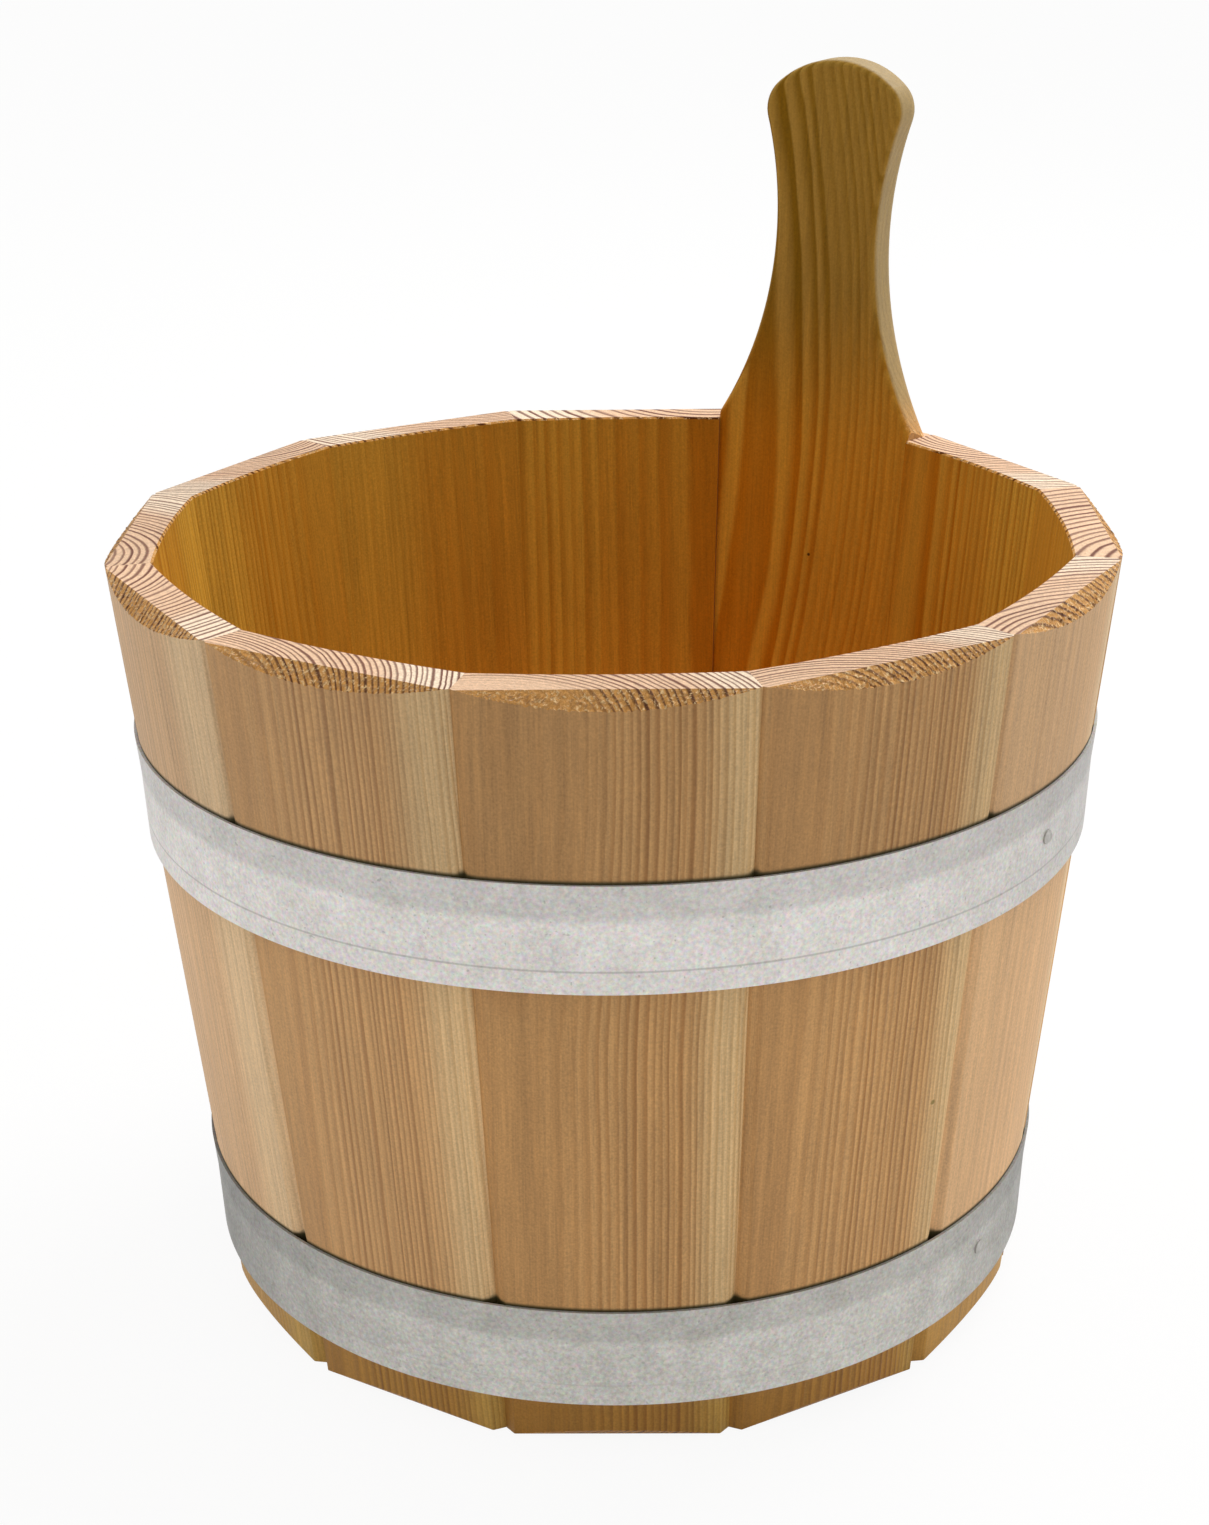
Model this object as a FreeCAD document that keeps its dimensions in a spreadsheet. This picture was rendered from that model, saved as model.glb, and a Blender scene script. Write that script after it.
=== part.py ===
import FreeCAD, Part
import Sketcher
import math
import os

# Coopered bucket for a sauna: twelve staves, one of them long and cut to a handle, a bottom of three boards
# in a groove, and two riveted steel hoops pinned with nails.
#
# Millimetres. The origin is the centre of the foot, +Z is up, and the handle stave stands on the +Y side.
# Every piece is first drawn at one place of the round and then turned about the bucket's axis.

STAVE_COUNT = 12
NAILED_STAVES = (3, 9)  # counted counterclockwise from the handle stave, which is 0
RIVETS_IN_A_LAP = 2
HEAD_FLAT = 0.6  # flat top of a rivet's or nail's head, as a share of its radius
HEAD_EDGE = 0.4  # upright edge of that head, as a share of its height

# The driving dimensions: name, value and what it is.
SIZES = [
    ("wall_height", 196.5, "foot to rim"),
    ("foot_radius", 105.4, "crown of a stave at the foot"),
    ("rim_radius", 125.0, "crown of a stave at the rim"),
    ("stave_thickness", 14.2, "at the middle of a stave"),
    ("rim_bevel_width", 5.6, "sawn bevel at the rim, measured level at the crown"),
    ("rim_bevel_drop", 4.2, "the same bevel, measured upright"),
    ("foot_bevel_width", 2.9, "bevel at the foot, measured level at the crown"),
    ("foot_bevel_rise", 2.9, "the same bevel, measured upright"),
    ("seam_width_foot", 5.4, "V groove between two staves at the foot"),
    ("seam_depth_foot", 2.0, "its depth there"),
    ("seam_depth_rim", 0.7, "its depth at the rim, where it is narrower by as much"),
    ("bottom_height", 15.0, "foot to the underside of the bottom"),
    ("bottom_thickness", 10.0, "bottom boards"),
    ("bottom_board_width", 64.0, "middle board"),
    ("bottom_edge_chamfer", 1.0, "broken edge of the round bottom"),
    ("croze_depth", 4.3, "groove for the bottom, at the middle of a stave"),
    ("croze_clearance", 0.1, "room round the bottom's edge and above it"),
    ("neck_width", 31.0, "narrowest part of the handle"),
    ("neck_height", 54.2, "rim to the narrowest part"),
    ("waist_radius", 100.0, "hollow curve of the handle's sides"),
    ("head_width", 41.2, "widest part of the handle's head"),
    ("head_corner_radius", 9.0, "rounded corners of the head"),
    ("head_crown_radius", 26.5, "top curve of the head"),
    ("inner_arris_radius", 2.0, "rounded arrises of the handle's inner face"),
    ("outer_arris_radius", 5.0, "rounded arrises of its outer face, which lies in the palm"),
    ("hoop_width", 26.5, "height of a hoop"),
    ("hoop_thickness", 0.7, "steel strip"),
    ("upper_hoop_height", 125.8, "foot to the upper hoop's lower edge"),
    ("lower_hoop_height", 12.2, "foot to the lower hoop's lower edge"),
    ("hoop_clearance", 0.03, "hoop to crown at its upper edge, where it grips"),
    ("hoop_crease_height", 17.6, "lower edge of a hoop to the crease below which it stands off the wall"),
    ("hoop_stand_off", 0.9, "room between the wall and the hoop's lower edge"),
    ("lap_length", 34.0, "overlap of a hoop's ends"),
    ("lap_step_length", 7.0, "stretch where the outer end steps over the inner one"),
    ("lap_gap", 0.05, "between the two layers of a lap"),
    ("rivet_pitch", 17.0, "between the two rivets of a lap"),
    ("rivet_radius", 1.6, "shank"),
    ("rivet_head_radius", 3.0, "flat head with a bevelled edge"),
    ("rivet_head_height", 1.3, "the same head"),
    ("nail_radius", 0.9, "shank"),
    ("nail_length", 11.0, "below the head"),
    ("nail_head_radius", 1.8, "flat head with a bevelled edge"),
    ("nail_head_height", 0.9, "the same head"),
    ("upper_nail_offset", 5.5, "nail to the middle of its stave, round the upper hoop"),
    ("lower_nail_offset", 7.3, "nail to the middle of its stave, round the lower hoop"),
]

doc = FreeCAD.newDocument("sauna_bucket")
sheet = doc.addObject("Spreadsheet::Sheet", "sizes")
for row, (alias, value, note) in enumerate(SIZES, start=1):
    sheet.set(f"A{row}", note)
    sheet.set(f"B{row}", str(value))
    sheet.setAlias(f"B{row}", alias)
doc.recompute()


def number(expression):
    """The present value of an expression over the sheet."""
    value = sheet.evalExpression(expression)
    return float(getattr(value, "Value", value))


# Expressions that several pieces share
HALF_STEP = f"{180 / STAVE_COUNT} deg"
SLOPE = "(sizes.rim_radius - sizes.foot_radius) / sizes.wall_height"


def crown_at(height):
    """Outer radius of the wall at a height, at the crown of the staves."""
    return f"(sizes.foot_radius + {SLOPE} * ({height}))"


def inner_at(height):
    """Distance from the axis to the middle of a stave's inner face."""
    return f"({crown_at(height)} - sizes.stave_thickness)"


# Sketches


def plane_of(body, role):
    """One of the body's own origin planes."""
    return next(item for item in body.Origin.OriginFeatures if item.Role == role)


def new_sketch(body, name, role="XY_Plane", frame=None):
    """An empty sketch on an origin plane, moved by the placement expression frame."""
    sketch = body.newObject("Sketcher::SketchObject", name)
    sketch.AttachmentSupport = (plane_of(body, role), [""])
    sketch.MapMode = "FlatFace"
    if frame:
        sketch.setExpression("AttachmentOffset", frame)
    return sketch


def bind(sketch, kind, where, expression, name):
    """A dimension of the sketch, tied to the sheet."""
    index = sketch.addConstraint(Sketcher.Constraint(kind, *where, number(expression)))
    sketch.renameConstraint(index, name)
    sketch.setExpression(f"Constraints.{name}", expression)


def arc_between(start, end, centre):
    """The short arc from start to end, and the sketch's numbers for its two ends."""
    radius = math.dist(start, centre)
    turn_start = math.atan2(start[1] - centre[1], start[0] - centre[0])
    turn_end = math.atan2(end[1] - centre[1], end[0] - centre[0])
    circle = Part.Circle(FreeCAD.Vector(*centre, 0), FreeCAD.Vector(0, 0, 1), radius)
    if (turn_end - turn_start) % (2 * math.pi) < math.pi:
        return Part.ArcOfCircle(circle, turn_start, turn_end), (1, 2)
    return Part.ArcOfCircle(circle, turn_end, turn_start), (2, 1)


def centre_of(start, end, radius, side):
    """Centre of an arc through two points. side is 1 where it lies left of the way from start to end."""
    half = math.dist(start, end) / 2
    rise = math.sqrt(radius * radius - half * half)
    along = ((end[0] - start[0]) / (2 * half), (end[1] - start[1]) / (2 * half))
    middle = ((start[0] + end[0]) / 2, (start[1] + end[1]) / 2)
    return (middle[0] - side * along[1] * rise, middle[1] + side * along[0] * rise)


def outline(sketch, corners, arcs=None):
    """A closed outline. corners are (x, y) pairs of expressions. arcs gives, for the number of the corner
    where an edge starts, its radius expression and the side of its centre; other edges are straight."""
    arcs = arcs or {}
    points = [(number(x), number(y)) for x, y in corners]
    ends = []
    for index, start in enumerate(points):
        end = points[(index + 1) % len(points)]
        if index in arcs:
            radius, side = arcs[index]
            geometry, order = arc_between(start, end, centre_of(start, end, number(radius), side))
        else:
            geometry = Part.LineSegment(FreeCAD.Vector(*start, 0), FreeCAD.Vector(*end, 0))
            order = (1, 2)
        ends.append((sketch.addGeometry(geometry), order))
    for index, (x, y) in enumerate(corners):
        before, before_order = ends[index - 1]
        edge, order = ends[index]
        sketch.addConstraint(Sketcher.Constraint("Coincident", before, before_order[1], edge, order[0]))
        bind(sketch, "DistanceX", (-1, 1, edge, order[0]), x, f"x{index}")
        bind(sketch, "DistanceY", (-1, 1, edge, order[0]), y, f"y{index}")
        if index in arcs:
            bind(sketch, "Radius", (edge,), arcs[index][0], f"radius{index}")
    return sketch


def lifted(height):
    """Placement of a level sketch at a height."""
    return f"placement(vector(0; 0; {height}); rotation(vector(0; 0; 1); 0 deg))"


# Features


def cut_through(body, name, sketch):
    """Cuts the sketch's outline right through the body, both ways."""
    pocket = body.newObject("PartDesign::Pocket", name)
    pocket.Profile = sketch
    pocket.Type = "ThroughAll"
    pocket.Midplane = True
    return pocket


def turned(body, name, sketch, kind="Revolution", angle="360 deg"):
    """Revolves the sketch about the body's Z axis, added or cut."""
    axis = next(item for item in body.Origin.OriginFeatures if item.Role == "Z_Axis")
    feature = body.newObject(f"PartDesign::{kind}", name)
    feature.Profile = sketch
    feature.ReferenceAxis = (axis, [""])
    feature.setExpression("Angle", angle)
    return feature


# Staves. A stave is drawn about the +Y direction.


def stave_blank(body, top, angle):
    """A piece of the wall from the foot to the height top, turned outside and planed flat inside."""
    roughly_inside = f"({inner_at('0')} - sizes.stave_thickness / 4)"
    section = [
        (roughly_inside, "0"),
        (crown_at("0"), "0"),
        (crown_at(top), top),
        (f"{roughly_inside} + {SLOPE} * {top}", top),
    ]
    turned(body, "turned_blank", outline(new_sketch(body, "wall_section", "YZ_Plane"), section),
           angle=angle).Midplane = True
    waste = [
        ("0", "0"),
        (inner_at("0"), "0"),
        (inner_at(top), top),
        ("0", top),
    ]
    cut_through(body, "inner_face", outline(new_sketch(body, "inner_waste", "YZ_Plane"), waste))


def ease_seams(body):
    """Planes off both outer arrises, so that two staves leave a V groove that widens towards the foot."""
    at_foot = f"({crown_at('0')} - sizes.seam_depth_foot)"
    at_rim = f"({crown_at('sizes.wall_height')} - sizes.seam_depth_rim)"
    lean = f"atan(({at_rim} - {at_foot}) / sizes.wall_height)"
    for side, word in ((1, "right"), (-1, "left")):
        on_joint = f"placement(vector(0; 0; 0); rotation(vector(0; 0; 1); -{side} * {HALF_STEP}))"
        down_groove = f"placement(vector(0; {at_foot}; 0); rotation(vector(1; 0; 0); -{lean}))"
        corners = [
            (f"{side} * sizes.seam_width_foot", "-2 * sizes.seam_depth_foot"),
            (f"-{side} * sizes.seam_width_foot", "2 * sizes.seam_depth_foot"),
            (f"{side} * sizes.seam_width_foot", "2 * sizes.seam_depth_foot"),
        ]
        sketch = new_sketch(body, f"{word}_arris_waste", frame=f"{on_joint} * {down_groove}")
        cut_through(body, f"{word}_arris", outline(sketch, corners))


def bevel(body, name, edge_height, drop, width):
    """Flat bevel across the end of the stave, from its end face out to the crown. drop is upright."""
    edge = f"({crown_at(edge_height)} - {width})"
    corners = [
        (edge, edge_height),
        (f"{edge} + 2 * ({width})", f"{edge_height} - 2 * ({drop})"),
        (f"{edge} + 2 * ({width})", f"{edge_height} + ({drop})"),
        (edge, f"{edge_height} + ({drop})"),
    ]
    cut_through(body, name, outline(new_sketch(body, f"{name}_outline", "YZ_Plane"), corners))


def croze_radius():
    """Outer radius of the groove that holds the bottom."""
    return f"({inner_at('sizes.bottom_height')} + sizes.croze_depth)"


def cut_croze(body):
    """Round groove inside the stave for the edge of the bottom."""
    low = "(sizes.bottom_height - sizes.croze_clearance)"
    high = "(sizes.bottom_height + sizes.bottom_thickness + sizes.croze_clearance)"
    inside = f"({inner_at('0')} / 2)"
    corners = [(inside, low), (croze_radius(), low), (croze_radius(), high), (inside, high)]
    sketch = outline(new_sketch(body, "croze_outline", "YZ_Plane"), corners)
    turned(body, "croze", sketch, kind="Groove")


def new_stave(name, place, top, angle=f"2 * {HALF_STEP}"):
    """The blank of a stave up to the height top, turned to its place in the round."""
    body = doc.addObject("PartDesign::Body", name)
    body.Label = name
    body.setExpression("Placement.Rotation.Angle", f"{place} * 2 * {HALF_STEP}")
    stave_blank(body, top, angle)
    return body


def fit_to_wall(body):
    """What every stave gets once its top is shaped: eased seams, a bevelled foot and its croze."""
    ease_seams(body)
    bevel(body, "foot_bevel", "0", "-sizes.foot_bevel_rise", "sizes.foot_bevel_width")
    cut_croze(body)


def plain_stave(place):
    """A stave that ends at the rim, with the sawn bevel there."""
    body = new_stave(f"stave_{place:02d}", place, "sizes.wall_height")
    bevel(body, "rim_bevel", "sizes.wall_height", "sizes.rim_bevel_drop", "sizes.rim_bevel_width")
    fit_to_wall(body)
    return body


# Handle


STAVE_BLANK_TOP = "(sizes.wall_height + sizes.neck_height + sizes.waist_radius)"


def handle_waste(body):
    """Outline of what is sawn away beside and above the handle, seen from the front."""
    sketch = new_sketch(body, "handle_waste_outline", "XZ_Plane")
    rim = number("sizes.wall_height")
    neck = number("sizes.neck_width / 2")
    waist = number("sizes.waist_radius")
    corner = number("sizes.head_corner_radius")
    crown = number("sizes.head_crown_radius")
    waist_centre = (neck + waist, rim + number("sizes.neck_height"))
    corner_x = number("sizes.head_width / 2") - corner
    corner_y = waist_centre[1] + math.sqrt((waist + corner) ** 2 - (waist_centre[0] - corner_x) ** 2)
    crown_y = corner_y - math.sqrt((crown - corner) ** 2 - corner_x ** 2)
    share = corner / (waist + corner)
    to_corner = (corner_x + (waist_centre[0] - corner_x) * share, corner_y + (waist_centre[1] - corner_y) * share)
    grow = crown / (crown - corner)
    to_crown = (corner_x * grow, crown_y + (corner_y - crown_y) * grow)
    flare = (waist_centre[0] - math.sqrt(waist ** 2 - (waist_centre[1] - rim) ** 2), rim)
    outside = number(f"{crown_at(STAVE_BLANK_TOP)}")
    above = number(STAVE_BLANK_TOP) + outside

    def mirrored(point):
        return (-point[0], point[1])

    path = [
        (flare, to_corner, waist_centre),
        (to_corner, to_crown, (corner_x, corner_y)),
        (to_crown, mirrored(to_crown), (0.0, crown_y)),
        (mirrored(to_crown), mirrored(to_corner), (-corner_x, corner_y)),
        (mirrored(to_corner), mirrored(flare), mirrored(waist_centre)),
        (mirrored(flare), (-outside, rim), None),
        ((-outside, rim), (-outside, above), None),
        ((-outside, above), (outside, above), None),
        ((outside, above), (outside, rim), None),
        ((outside, rim), flare, None),
    ]
    ends = []
    for start, end, centre in path:
        if centre:
            geometry, order = arc_between(start, end, centre)
        else:
            geometry = Part.LineSegment(FreeCAD.Vector(*start, 0), FreeCAD.Vector(*end, 0))
            order = (1, 2)
        ends.append((sketch.addGeometry(geometry), order))
    for index in range(len(path)):
        before, before_order = ends[index - 1]
        edge, order = ends[index]
        kind = "Tangent" if index in (1, 2, 3, 4) else "Coincident"
        sketch.addConstraint(Sketcher.Constraint(kind, before, before_order[1], edge, order[0]))
    right_waist, right_corner, top, left_corner, left_waist = (ends[index][0] for index in range(5))
    for word, sign, waist_arc, corner_arc in (("right", 1, right_waist, right_corner),
                                              ("left", -1, left_waist, left_corner)):
        centre_x = f"{sign} * (sizes.neck_width / 2 + sizes.waist_radius)"
        bind(sketch, "DistanceX", (-1, 1, waist_arc, 3), centre_x, f"{word}_waist_x")
        bind(sketch, "DistanceY", (-1, 1, waist_arc, 3), "sizes.wall_height + sizes.neck_height", f"{word}_waist_y")
        bind(sketch, "Radius", (waist_arc,), "sizes.waist_radius", f"{word}_waist_radius")
        head_x = f"{sign} * (sizes.head_width / 2 - sizes.head_corner_radius)"
        bind(sketch, "DistanceX", (-1, 1, corner_arc, 3), head_x, f"{word}_corner_x")
        bind(sketch, "Radius", (corner_arc,), "sizes.head_corner_radius", f"{word}_corner_radius")
    bind(sketch, "Radius", (top,), "sizes.head_crown_radius", "crown_radius")
    edge_x = crown_at(STAVE_BLANK_TOP)
    edge_y = f"{STAVE_BLANK_TOP} + {edge_x}"
    for index, x, y in ((6, f"-{edge_x}", "sizes.wall_height"), (7, f"-{edge_x}", edge_y),
                        (8, edge_x, edge_y), (9, edge_x, "sizes.wall_height")):
        bind(sketch, "DistanceX", (-1, 1, ends[index][0], 1), x, f"x{index}")
        bind(sketch, "DistanceY", (-1, 1, ends[index][0], 1), y, f"y{index}")
    bind(sketch, "DistanceY", (-1, 1, ends[0][0], ends[0][1][0]), "sizes.wall_height", "right_flare_y")
    bind(sketch, "DistanceY", (-1, 1, ends[4][0], ends[4][1][1]), "sizes.wall_height", "left_flare_y")
    return sketch


def handle_arrises(shape, outside):
    """Names of the edges between the sawn outline of the handle and one of the stave's two faces: the outer
    one where outside is true. The straight edges of the shoulders at the rim stay sharp."""
    above_shoulders = number("sizes.wall_height + sizes.neck_height / 4")
    names = []
    for index, edge in enumerate(shape.Edges, start=1):
        middle = edge.valueAt((edge.FirstParameter + edge.LastParameter) / 2)
        if middle.z < above_shoulders or isinstance(edge.Curve, Part.Line):
            continue
        halfway = number(f"{crown_at(f'{middle.z}')} - sizes.stave_thickness / 2")
        if (middle.y > halfway) == outside:
            names.append(f"Edge{index}")
    return names


def joint_sides(body):
    """Planes a wide blank down to the two joint faces of a stave."""
    reach = f"(2 * {crown_at(STAVE_BLANK_TOP)})"
    for side, word in ((1, "right"), (-1, "left")):
        corners = [
            ("0", "0"),
            (f"{side} * {reach} * sin({HALF_STEP})", f"{reach} * cos({HALF_STEP})"),
            (f"{side} * {reach}", f"{reach} * cos({HALF_STEP})"),
            (f"{side} * {reach}", "0"),
        ]
        cut_through(body, f"{word}_joint", outline(new_sketch(body, f"{word}_joint_waste"), corners))


def handle_stave():
    """The long stave: sawn out of a wide blank, its handle rounded, and then jointed like the others."""
    body = new_stave("handle_stave", 0, STAVE_BLANK_TOP, angle=f"4 * {HALF_STEP}")
    shaped = cut_through(body, "handle_waste", handle_waste(body))
    for name, outside, radius in (("rounded_palm_side", True, "sizes.outer_arris_radius"),
                                  ("rounded_finger_side", False, "sizes.inner_arris_radius")):
        doc.recompute()
        rounded = body.newObject("PartDesign::Fillet", name)
        rounded.Base = (shaped, handle_arrises(shaped.Shape, outside))
        rounded.setExpression("Radius", radius)
        shaped = rounded
    joint_sides(body)
    fit_to_wall(body)
    return body


# Bottom


def bottom_radius():
    return f"({croze_radius()} - sizes.croze_clearance)"


def bottom_board(name, side):
    """A board of the round bottom: side 0 is the middle one, -1 and 1 the outer ones."""
    body = doc.addObject("PartDesign::Body", name)
    body.Label = name
    half = "sizes.bottom_board_width / 2"
    reach = f"sqrt({bottom_radius()}^2 - ({half})^2)"
    frame = lifted("sizes.bottom_height")
    sketch = new_sketch(body, "board_outline", frame=frame)
    if side == 0:
        corners = [(reach, half), (f"-{reach}", half), (f"-{reach}", f"-{half}"), (reach, f"-{half}")]
        outline(sketch, corners, {1: (bottom_radius(), 1), 3: (bottom_radius(), 1)})
    else:
        corners = [(f"{side} * {reach}", f"{side} * {half}"), (f"-{side} * {reach}", f"{side} * {half}")]
        outline(sketch, corners, {0: (bottom_radius(), 1)})
    pad = body.newObject("PartDesign::Pad", "board")
    pad.Profile = sketch
    pad.setExpression("Length", "sizes.bottom_thickness")
    doc.recompute()
    round_edges = []
    for index, edge in enumerate(pad.Shape.Edges, start=1):
        if isinstance(edge.Curve, Part.Circle):
            round_edges.append(f"Edge{index}")
    chamfer = body.newObject("PartDesign::Chamfer", "broken_edge")
    chamfer.Base = (pad, round_edges)
    chamfer.setExpression("Size", "sizes.bottom_edge_chamfer")
    return body


# Hoops. A hoop is drawn with its inner end at the +X direction and runs counterclockwise.

FASTENER_RISE = "sizes.hoop_width / 2"


def hoop_inner(height, rise):
    """Inner radius of a hoop whose lower edge is at height, at a rise above that edge, if it gripped there."""
    return f"({crown_at(f'({height} + {rise})')} + sizes.hoop_clearance)"


def hoop_section(body, name, height, layer, angle):
    """Upright section of the strip: against the staves above the crease, and steeper than the wall below it.
    layer is 0 on the staves and 1 on top of the strip's other end."""
    lift = f"{layer} * (sizes.hoop_thickness + sizes.lap_gap)"
    low = f"({hoop_inner(height, '0')} + sizes.hoop_stand_off + {lift})"
    crease = f"({hoop_inner(height, 'sizes.hoop_crease_height')} + {lift})"
    high = f"({hoop_inner(height, 'sizes.hoop_width')} + {lift})"
    crease_height = f"({height} + sizes.hoop_crease_height)"
    top = f"({height} + sizes.hoop_width)"
    corners = [
        (low, height),
        (f"{low} + sizes.hoop_thickness", height),
        (f"{crease} + sizes.hoop_thickness", crease_height),
        (f"{high} + sizes.hoop_thickness", top),
        (high, top),
        (crease, crease_height),
    ]
    frame = f"placement(vector(0; 0; 0); rotation(vector(0; 1; 0); {angle}))"
    return outline(new_sketch(body, name, "XZ_Plane", frame), corners)


def along_hoop(height, length):
    """The angle that a length takes up round a hoop."""
    return f"({length} / {hoop_inner(height, FASTENER_RISE)} * 180 deg / pi)"


def on_hoop(height, angle, stand_off):
    """Placement with its Z axis pointing straight out of a hoop's outer face, half way up, at an angle."""
    lean = f"atan({SLOPE} - sizes.hoop_stand_off / sizes.hoop_crease_height)"
    off_wall = f"sizes.hoop_stand_off * (1 - {FASTENER_RISE} / sizes.hoop_crease_height)"
    radius = f"({hoop_inner(height, FASTENER_RISE)} + {off_wall} + sizes.hoop_thickness + {stand_off})"
    about = f"placement(vector(0; 0; 0); rotation(vector(0; 0; 1); {angle}))"
    out = (f"placement(vector({radius}; 0; {height} + {FASTENER_RISE}); "
           f"rotation(vector(0; 1; 0); 90 deg + {lean}))")
    return f"{about} * {out}"


def drill(body, name, frame, radius, depth):
    """A round hole into the body along the placement's axis, to a depth below its origin."""
    sketch = new_sketch(body, f"{name}_circle", frame=frame)
    circle = sketch.addGeometry(Part.Circle(FreeCAD.Vector(0, 0, 0), FreeCAD.Vector(0, 0, 1), number(radius)))
    sketch.addConstraint(Sketcher.Constraint("Coincident", circle, 3, -1, 1))
    bind(sketch, "Radius", (circle,), radius, "hole_radius")
    pocket = body.newObject("PartDesign::Pocket", name)
    pocket.Profile = sketch
    pocket.setExpression("Length", depth)
    return pocket


def rivet_angle(height, index):
    """Angle of a rivet from the start of the lap; the rivets are spaced about the lap's middle."""
    shift = index - (RIVETS_IN_A_LAP - 1) / 2
    return along_hoop(height, f"(sizes.lap_length / 2 + {shift} * sizes.rivet_pitch)")


def lap_turn(height):
    """Turns a hoop so that the middle of its lap is behind the handle."""
    return f"(90 deg - {along_hoop(height, 'sizes.lap_length / 2')})"


def nail_angle(height, place, offset):
    """Angle of a nail about the bucket's axis, beside the middle of its stave."""
    return f"(90 deg + {place} * 2 * {HALF_STEP} - {along_hoop(height, offset)})"


def hoop(name, height, offset):
    """A strip bent round the staves, its outer end stepped over the inner one."""
    body = doc.addObject("PartDesign::Body", name)
    body.Label = name
    body.setExpression("Placement.Rotation.Angle", lap_turn(height))
    step = along_hoop(height, "sizes.lap_step_length")
    first = hoop_section(body, "inner_end", height, 0, "0 deg")
    turned(body, "band", first, angle=f"360 deg - {step}").Reversed = True
    before_step = hoop_section(body, "foot_of_step", height, 0, f"-{step}")
    after_step = hoop_section(body, "head_of_step", height, 1, "0 deg")
    step_faces = body.newObject("PartDesign::AdditiveLoft", "step")
    step_faces.Profile = before_step
    step_faces.Sections = [after_step]
    step_faces.Ruled = True
    second = hoop_section(body, "lap_start", height, 1, "0 deg")
    turned(body, "lap", second, angle=along_hoop(height, "sizes.lap_length")).Reversed = True
    lap_top = "(sizes.hoop_thickness + sizes.lap_gap)"
    for index in range(RIVETS_IN_A_LAP):
        frame = on_hoop(height, rivet_angle(height, index), lap_top)
        drill(body, f"rivet_hole_{index + 1}", frame, "sizes.rivet_radius", "3 * sizes.hoop_thickness")
    for place in NAILED_STAVES:
        angle = f"({nail_angle(height, place, offset)} - {lap_turn(height)})"
        frame = on_hoop(height, angle, "0")
        drill(body, f"nail_hole_{place}", frame, "sizes.nail_radius", "2 * sizes.hoop_thickness")
    return body


# Fasteners. Each is turned about its own Z axis, with the underside of its head at the origin.


def fastener(name, shank_radius, length, head_radius, head_height, frame):
    """A flat head with a bevelled edge, on a plain shank."""
    body = doc.addObject("PartDesign::Body", name)
    body.Label = name
    body.setExpression("Placement", frame)
    sketch = new_sketch(body, "half_profile", "XZ_Plane")
    corners = [
        ("0", f"-({length})"),
        (shank_radius, f"-({length})"),
        (shank_radius, "0"),
        (head_radius, "0"),
        (head_radius, f"{HEAD_EDGE} * {head_height}"),
        (f"{HEAD_FLAT} * {head_radius}", head_height),
        ("0", head_height),
    ]
    outline(sketch, corners)
    turned(body, "turned", sketch)
    return body


def group(name, bodies):
    """Like fasteners share one sub-part, as separate solids."""
    compound = doc.addObject("Part::Compound", name)
    compound.Label = name
    compound.Links = bodies
    return compound


def hoop_rivets(name, height):
    """The rivets of a lap, hammered flush against the staves inside."""
    lap_top = "(sizes.hoop_thickness + sizes.lap_gap)"
    grip = "(2 * sizes.hoop_thickness + sizes.lap_gap)"
    rivets = []
    for index in range(RIVETS_IN_A_LAP):
        angle = f"({lap_turn(height)} + {rivet_angle(height, index)})"
        frame = on_hoop(height, angle, lap_top)
        rivets.append(fastener(f"{name}_{index + 1}", "sizes.rivet_radius", grip,
                               "sizes.rivet_head_radius", "sizes.rivet_head_height", frame))
    return group(name, rivets)


def hoop_nails(name, height, offset):
    """The nails that pin a hoop to two opposite staves."""
    nails = []
    for place in NAILED_STAVES:
        frame = on_hoop(height, nail_angle(height, place, offset), "0")
        nails.append(fastener(f"{name}_{place}", "sizes.nail_radius", "sizes.nail_length",
                              "sizes.nail_head_radius", "sizes.nail_head_height", frame))
    return group(name, nails)


HOOPS = [
    ("upper_hoop", "sizes.upper_hoop_height", "sizes.upper_nail_offset"),
    ("lower_hoop", "sizes.lower_hoop_height", "sizes.lower_nail_offset"),
]


def drill_for_nails(body):
    """Holes in a nailed stave, in the stave's own frame, where it is drawn about +Y."""
    for name, height, offset in HOOPS:
        frame = on_hoop(height, nail_angle(height, 0, offset), "0")
        drill(body, f"{name}_nail_hole", frame, "sizes.nail_radius", "sizes.nail_length")


# The bucket

pieces = [handle_stave()]
for place in range(1, STAVE_COUNT):
    stave = plain_stave(place)
    if place in NAILED_STAVES:
        drill_for_nails(stave)
    pieces.append(stave)
for name, side in (("bottom_board_left", -1), ("bottom_board_middle", 0), ("bottom_board_right", 1)):
    pieces.append(bottom_board(name, side))
for name, height, offset in HOOPS:
    pieces.append(hoop(name, height, offset))
    pieces.append(hoop_rivets(f"{name}_rivets", height))
    pieces.append(hoop_nails(f"{name}_nails", height, offset))
doc.recompute()

# Checks before anything is written
for item in doc.Objects:
    if "Invalid" in item.State or "Error" in item.State:
        raise RuntimeError(f"{item.Name} failed: {item.State}")
    if item.TypeId == "Sketcher::SketchObject" and not item.FullyConstrained:
        raise RuntimeError(f"{item.Name} is not fully constrained")
for piece in pieces:
    if piece.Shape.isNull() or not piece.Shape.isValid():
        raise RuntimeError(f"{piece.Label} has no valid shape")

os.makedirs("parts", exist_ok=True)
for piece in pieces:
    piece.Shape.exportStep(f"parts/{piece.Label}.step")
    print(piece.Label, len(piece.Shape.Solids), round(piece.Shape.Volume / 1000, 3), "cm3")
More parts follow.
